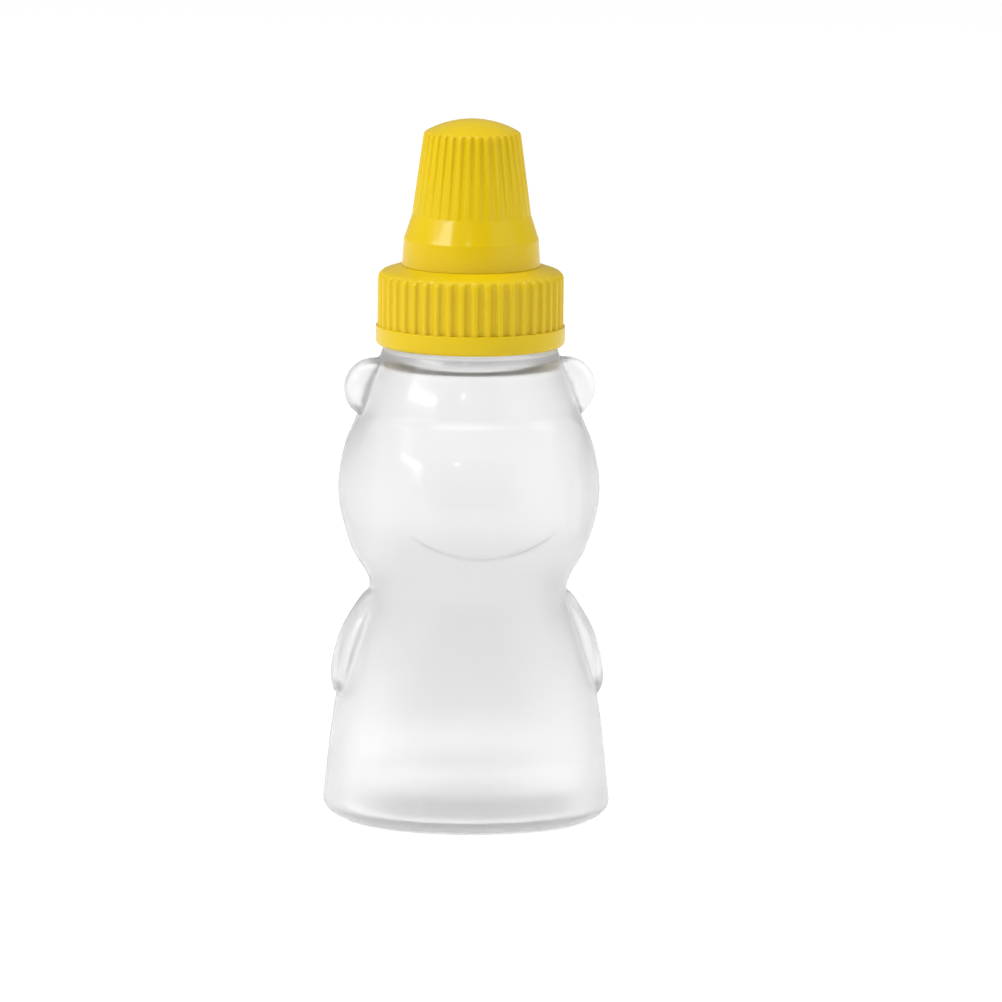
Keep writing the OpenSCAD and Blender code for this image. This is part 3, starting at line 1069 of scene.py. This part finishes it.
    def ear(self, z: np.ndarray, half: np.ndarray, across: np.ndarray, inset: float) -> np.ndarray:
        """How far an ear stands out of the skin."""
        r = self.ear_radius - inset
        dz = z - self.ear_z
        inside = np.abs(dz) < r
        reach = np.sqrt(np.maximum(0.0, r * r - dz * dz))
        thick = (self.ear_thickness / 2 - inset) * self.lobe(dz, np.full_like(dz, r))
        out = np.maximum(0.0, self.ear_x + reach - half) * self.lobe(across, thick)
        return np.where(inside, out, 0.0)

    def arm(self, z: np.ndarray, across: np.ndarray, inset: float) -> np.ndarray:
        """How far an arm stands out of the skin."""
        half_length = self.arm_length / 2 - inset
        half_thick = self.arm_thickness / 2 - inset
        u = (z - self.arm_z) / half_length
        return self.arm_out * np.sqrt(np.maximum(0.0, 1 - u * u - (across / half_thick) ** 4))

    def face(self, x: np.ndarray, z: np.ndarray, crease: float) -> np.ndarray:
        """How far the face stands out: a plate under the brow line, a muzzle above the chin and cheeks.

        Args:
            x: Distance from the middle of the face.
            z: Height.
            crease: Width over which each step of the face rises.

        Returns:
            The distance that the face stands out.
        """
        past = np.maximum(0.0, np.abs(x) - self.brow_half)
        bend = self.brow_radius + 1
        drop = bend - np.sqrt(np.maximum(0.0, bend ** 2 - np.minimum(past, bend) ** 2))
        under = smooth((self.brow_z - drop - z) / crease + 0.5)
        to_chin = self.chin_radius - np.hypot(x, z - self.chin_z - self.chin_radius)
        over = smooth(to_chin / (crease * self.chin_share) + 0.5)
        sides = smooth((self.brow_half + self.brow_radius + self.face_past - np.abs(x)) / self.face_edge)
        upper = 1 - (1 - np.clip((self.brow_z - z) / self.muzzle_fall, 0.0, 1.0)) ** 2
        plate = self.face_out * under * sides * smooth((z - self.chin_z) / self.face_rise)
        up = smooth((z - self.chin_z - self.muzzle_low) / self.muzzle_low)
        half = self.muzzle_half + self.muzzle_spread * up
        muzzle_sides = smooth((half - np.abs(x)) / (half * self.muzzle_edge))
        below = smooth((self.cheek_top - z) / self.cheek_fall)
        below = below * smooth((z - self.chin_z + self.cheek_low) / self.cheek_rise)
        cheeks = below * smooth((self.cheek_half - np.abs(x)) / self.cheek_edge)
        return plate + self.muzzle_out * over * upper * muzzle_sides + self.cheek_out * cheeks

    def ring(
        self, z: float, inset: float = 0.0, out_z: Optional[float] = None, crease: float = 0.0
    ) -> np.ndarray:
        """One ring of the skin.

        Args:
            z: Height at which the skin is taken.
            inset: How far it is moved in.
            out_z: Height at which the ring lies, where that differs.
            crease: Width of the face's steps, or 0 for the usual one.

        Returns:
            The ring's points.
        """
        heights = np.full(self.around, z)
        half_width, half_depth, squareness = self.section(heights)
        a = half_width - inset
        b = half_depth - inset
        cos, sin = np.cos(self.angles), np.sin(self.angles)
        plain = ((np.abs(cos) / a) ** squareness + (np.abs(sin) / b) ** squareness) ** (-1 / squareness)
        x, y = plain * cos, plain * sin
        reach = plain + self.ear(heights, a, y, inset) + self.arm(heights, y, inset)
        front = self.face(x, heights, crease or self.crease) * smooth(-y / 4)
        reach = reach + np.where(y < 0, front, 0.0)
        if inset == 0.0:
            reach = reach + self.seam * np.exp(-(y / self.seam_width) ** 2)
        return self.laid(reach, z if out_z is None else out_z)

    def laid(self, reach: np.ndarray, z: float) -> np.ndarray:
        """A ring at a height, from its distance to the axis in each direction."""
        cos, sin = np.cos(self.angles), np.sin(self.angles)
        return np.stack((reach * cos, reach * sin, np.full(self.around, z)), axis=1)

    def circles(self, places: Sequence[Point]) -> list[np.ndarray]:
        """Round rings of the neck or the mouth, by radius and height."""
        return [self.laid(np.full(self.around, r), z) for r, z in places]

    def rows(self, low: float, high: float, count: int, inset: float = 0.0) -> list[np.ndarray]:
        """Rings of the skin or its inside between two heights, without the last of the count.

        Args:
            low: First height.
            high: Last height.
            count: Number of heights.
            inset: How far the rings are moved in. The face's steps are softer where they are.

        Returns:
            The rings.
        """
        crease = self.crease * self.inner_softness if inset else 0.0
        return [self.ring(z, inset, None, crease) for z in np.linspace(low, high, count)[:-1]]

    def threaded(self, z: float) -> np.ndarray:
        """A ring of the neck with its thread."""
        turn = np.mod(self.angles / (2 * math.pi), 1.0)
        step = np.round((z - self.thread_start) / self.thread_lead - turn)
        along = turn + step
        off = np.abs(z - self.thread_start - along * self.thread_lead)
        ridge = smooth((self.thread_half - off) / self.thread_flank)
        runout = self.thread_runout
        ends = smooth(along / runout) * smooth((self.thread_turns - along) / runout)
        return self.laid(self.neck + self.thread_height * ridge * ends, z)

    def underside(self) -> list[np.ndarray]:
        """Rings from the middle of the underside out over the standing ring."""
        inner = self.foot_inset + self.foot_width
        rings = []
        for share in (0.12, 0.3, 0.5, 0.7, 0.88, 1.0):
            flat = self.ring(0.0, inner + 0.25, 0.0) * share
            flat[:, 2] = self.foot + self.push_up * math.cos(share * math.pi / 2)
            rings.append(flat)
        for inset, z in (
            (inner + 0.08, 0.24), (inner, 0.12), (inner - 0.1, 0.03), (inner - 0.3, 0.0),
            (self.foot_inset + 0.3, 0.0), (self.foot_inset + 0.1, 0.03), (self.foot_inset + 0.02, 0.12),
        ):
            rings.append(self.ring(0.0, inset, z))
        return rings

    def outside(self) -> list[np.ndarray]:
        """Rings up the heel, the body and the head, and over the rounded shoulder."""
        rings = []
        hip = self.foot + self.heel
        first = math.asin(1 - (self.foot_inset - 0.02) / self.heel)
        for turn in np.linspace(first, math.pi / 2, 10)[:-1]:
            inset = self.heel * (1 - math.sin(turn))
            rings.append(self.ring(hip, inset, self.foot + self.heel * (1 - math.cos(turn))))
        top = self.shoulder - self.shoulder_round
        below, above = self.brow_z - self.brow_below, self.brow_z + self.brow_above
        rings += self.rows(hip, self.waist, self.body_rings)
        rings += self.rows(self.waist, below, self.face_rings)
        rings += self.rows(below, above, self.brow_rings)
        rings += self.rows(above, top, self.crown_rings)
        rings.append(self.ring(top))
        for turn in np.linspace(0, math.pi / 2, 6)[1:]:
            inset = self.shoulder_round * (1 - math.cos(turn))
            z = top + self.shoulder_round * math.sin(turn)
            rings.append(self.ring(z, max(inset, 1e-4)))
        return rings

    def neck_rings(self) -> list[np.ndarray]:
        """Rings over the bead, up the threaded neck, over the rim and down the mouth."""
        bead = self.neck + self.bead
        top = self.shoulder + self.bead_height
        rings = self.circles((
            (bead - 0.02, self.shoulder + 0.02),
            (bead - 0.07, self.shoulder + 0.2),
            (bead - 0.26, top - 0.25),
            (bead - 0.34, top - 0.09),
            (bead - 0.5, top),
            (self.neck + 0.15, top + 0.02),
            (self.neck + 0.03, top + 0.12),
        ))
        for z in np.linspace(top + 0.3, self.rim - 0.35, self.thread_rings):
            rings.append(self.threaded(float(z)))
        bend = self.rim_round
        for turn in np.linspace(0, math.pi / 2, 5)[1:]:
            r = self.neck - bend + bend * math.cos(turn)
            rings += self.circles(((r, self.rim - bend + bend * math.sin(turn)),))
        return rings + self.circles((
            (self.mouth + 0.15, self.rim),
            (self.mouth + 0.03, self.rim - 0.05),
            (self.mouth, self.rim - 0.2),
            (self.mouth, self.shoulder - 0.1),
            (self.mouth + 0.12, self.shoulder - 0.5),
            (self.mouth + 0.5, self.shoulder - self.wall + 0.04),
        ))

    def inside(self) -> list[np.ndarray]:
        """Rings down the inside of the head and the body, and over the floor."""
        roof = self.shoulder - self.wall
        floor = self.foot + self.floor
        bend = self.heel - self.wall
        rings = self.rows(roof, self.waist, self.inner_head_rings, self.wall)
        rings += self.rows(self.waist, floor + bend, self.inner_body_rings, self.wall)
        rings.append(self.ring(floor + bend, self.wall, None, self.crease * self.inner_softness))
        for turn in np.linspace(math.pi / 2, 0, 7)[1:]:
            inset = self.wall + bend * (1 - math.sin(turn))
            rings.append(self.ring(floor + bend, inset, floor + bend * (1 - math.cos(turn))))
        flat = rings[-1]
        for share in (0.8, 0.5, 0.2):
            ring = flat * share
            ring[:, 2] = floor + self.push_up * 0.8 * math.cos(share * math.pi / 2)
            rings.append(ring)
        return rings

    def build(self, finish: bpy.types.Material) -> bpy.types.Object:
        """Makes the bottle as one closed shell and has it stand for its node.

        Args:
            finish: Its material.

        Returns:
            The bottle's piece.
        """
        rings = self.underside() + self.outside() + self.neck_rings() + self.inside()
        count, n = len(rings), self.around
        low = [0.0, 0.0, self.foot + self.push_up]
        high = [0.0, 0.0, self.foot + self.floor + self.push_up * 0.8]
        points = np.concatenate(rings + [np.array([low, high])]) * MM
        sides = [(j, (j + 1) % n) for j in range(n)]
        faces: list[tuple[int, ...]] = []
        for foot in range(0, (count - 1) * n, n):
            faces += [(foot + j, foot + k, foot + n + k, foot + n + j) for j, k in sides]
        top = (count - 1) * n
        for j, k in sides:
            faces += [(count * n, k, j), (count * n + 1, top + j, top + k)]
        piece = mesh_object("bear_bottle", points, faces)
        piece.data.materials.append(finish)
        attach(piece, Body.BOTTLE.value)
        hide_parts("bottle")
        return piece


@dataclass
class SealLiner:
    """The liner in the closure, which keeps its own solid."""

    def dress(self, finish: bpy.types.Material) -> bpy.types.Object:
        """Gives the liner's node its finish.

        Args:
            finish: Its material.

        Returns:
            The liner's object.
        """
        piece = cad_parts[Body.LINER.value]
        piece.data.materials.clear()
        piece.data.materials.append(finish)
        return piece


@dataclass(frozen=True)
class SoftBox:
    """A lamp: its angles in degrees, its distance and sizes in metres, and its power in watts.

    The azimuth counts from the camera's.
    """

    name: str
    azimuth: float
    elevation: float
    distance: float
    width: float
    height: float
    power: float


@dataclass(frozen=True)
class Studio:
    """A pale floor, soft light and a camera at the photograph's viewing angle."""

    azimuth: float = -7.0
    elevation: float = 8.7
    roll: float = 0.59
    distance: float = 1.43
    lens: float = 462.1
    centre: float = 0.039
    shift_right: float = 0.00355
    shift_down: float = 0.00375
    lamp_aim: float = 0.045
    floor_half: float = 3.0
    lamps: tuple[SoftBox, ...] = (
        SoftBox("key", -57, 29, 0.75, 0.46, 0.1, 2.3),
        SoftBox("fill", 62, 14, 0.9, 0.7, 0.8, 1.4),
        SoftBox("top", -20, 78, 0.9, 0.5, 0.5, 2.55),
        SoftBox("left_rim", -86, 47, 0.75, 0.34, 0.3, 1.0),
        SoftBox("right_rim", 102, 45, 0.75, 0.34, 0.3, 1.2),
        SoftBox("spot", -6, 33, 0.7, 0.03, 0.03, 0.16),
    )

    def toward(self, azimuth: float, elevation: float) -> tuple[Vector, Matrix]:
        """Direction from the object to a place, and the turn of a thing there that looks back.

        Args:
            azimuth: The place's azimuth in degrees.
            elevation: Its elevation in degrees.

        Returns:
            The direction and the turn.
        """
        a, e = math.radians(azimuth), math.radians(elevation)
        back = Vector((math.sin(a) * math.cos(e), -math.cos(a) * math.cos(e), math.sin(e)))
        return back, (-back).to_track_quat("-Z", "Y").to_matrix()

    def camera(self) -> None:
        """Makes the camera and aims it past the object's middle, as in the photograph."""
        data = bpy.data.cameras.new("camera")
        data.lens = self.lens
        data.sensor_width = 36.0
        data.clip_start = 0.01
        data.clip_end = 20.0
        thing = bpy.data.objects.new("camera", data)
        bpy.context.scene.collection.objects.link(thing)
        back, turn = self.toward(self.azimuth, self.elevation)
        turn = turn @ Matrix.Rotation(math.radians(self.roll), 3, "Z")
        right, up = turn.col[0], turn.col[1]
        aim = Vector((0, 0, self.centre)) + right * self.shift_right - up * self.shift_down
        thing.matrix_world = Matrix.Translation(aim + back * self.distance) @ turn.to_4x4()
        bpy.context.scene.camera = thing

    def lamp(self, box: SoftBox) -> None:
        """Makes a soft box that looks at the object."""
        data = bpy.data.lights.new(box.name, "AREA")
        data.shape = "RECTANGLE"
        data.size, data.size_y = box.width, box.height
        data.energy = box.power
        thing = bpy.data.objects.new(box.name, data)
        back, turn = self.toward(self.azimuth + box.azimuth, box.elevation)
        place = Vector((0, 0, self.lamp_aim)) + back * box.distance
        thing.matrix_world = Matrix.Translation(place) @ turn.to_4x4()
        thing.visible_camera = False
        thing.visible_transmission = False
        bpy.context.scene.collection.objects.link(thing)

    def world(self) -> None:
        """Sets a white surround that lights more softly than it looks."""
        world = bpy.data.worlds.new("studio")
        bpy.context.scene.world = world
        world.use_nodes = True
        graph = NodeGraph(world.node_tree)
        path = graph.add("ShaderNodeLightPath").outputs
        through = path["Is Transmission Ray"]
        mirrored = graph.math("SUBTRACT", path["Is Glossy Ray"], through, clamp=True)
        soft = graph.math("MULTIPLY_ADD", through, 0.75, 0.4)
        dim = graph.math("MULTIPLY_ADD", mirrored, -0.1, soft)
        seen = graph.math("MAXIMUM", dim, graph.math("MULTIPLY", path["Is Camera Ray"], 1.05))
        sky = world.node_tree.nodes["Background"]
        graph.inputs(sky, Color=(1.0, 1.0, 1.0, 1.0), Strength=seen)

    def floor(self) -> None:
        """Makes the pale floor."""
        half = self.floor_half
        points = np.array([(-half, -half, 0), (half, -half, 0), (half, half, 0), (-half, half, 0)])
        plane = mesh_object("floor", points, [(0, 1, 2, 3)])
        material, graph, shader = new_material("pale floor")
        noise = graph.noise(graph.here(), 3.0, Detail=3.0)
        graph.inputs(
            shader,
            Base_Color=graph.blend(noise, (0.39, 0.39, 0.39), (0.41, 0.41, 0.41)),
            Roughness=0.9,
            Emission_Color=(1.0, 1.0, 1.0, 1.0),
            Emission_Strength=0.75,
        )
        plane.data.materials.append(material)

    def card(self) -> None:
        """Makes the dark card behind the camera, which keeps the front of the object from going flat."""
        wide, high, away = 1.1, 0.8, 1.75
        back, turn = self.toward(self.azimuth, self.elevation + 8)
        middle = Vector((0, 0, self.centre)) + back * away
        corners = [(-wide, -high), (wide, -high), (wide, high), (-wide, high)]
        points = np.array([middle + turn @ Vector((x, y, 0.0)) for x, y in corners])
        panel = mesh_object("dark_card", points, [(0, 1, 2, 3)])
        material, graph, shader = new_material("dark card")
        graph.inputs(shader, Base_Color=(0.03, 0.03, 0.03, 1.0), Roughness=0.9)
        panel.data.materials.append(material)
        panel.visible_camera = False

    def build(self) -> None:
        """Sets up the whole studio."""
        scene = bpy.context.scene
        scene.view_settings.view_transform = "Standard"
        scene.view_settings.look = "None"
        self.camera()
        self.world()
        self.floor()
        self.card()
        for box in self.lamps:
            self.lamp(box)


def main() -> None:
    """Builds the bottle's dressing piece by piece."""
    logging.basicConfig(level=logging.INFO, format="%(name)s: %(message)s")
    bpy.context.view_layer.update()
    Studio().build()
    yellow = GlossPolypropylene().material()
    bottle = BlownBottle().build(MilkyPolyethylene().material())
    LOG.info("%s: %d faces", bottle.name, len(bottle.data.polygons))
    closure = ScrewClosure()
    for piece in (closure.build(yellow), closure.thread(yellow)):
        LOG.info("%s: %d faces", piece.name, len(piece.data.polygons))
    overcap = RibbedOvercap().build(yellow)
    LOG.info("%s: %d faces", overcap.name, len(overcap.data.polygons))
    liner = SealLiner().dress(FoamedPolyethylene().material())
    LOG.info("%s: finished in place", liner.name)


if __name__ == "__main__":
    main()
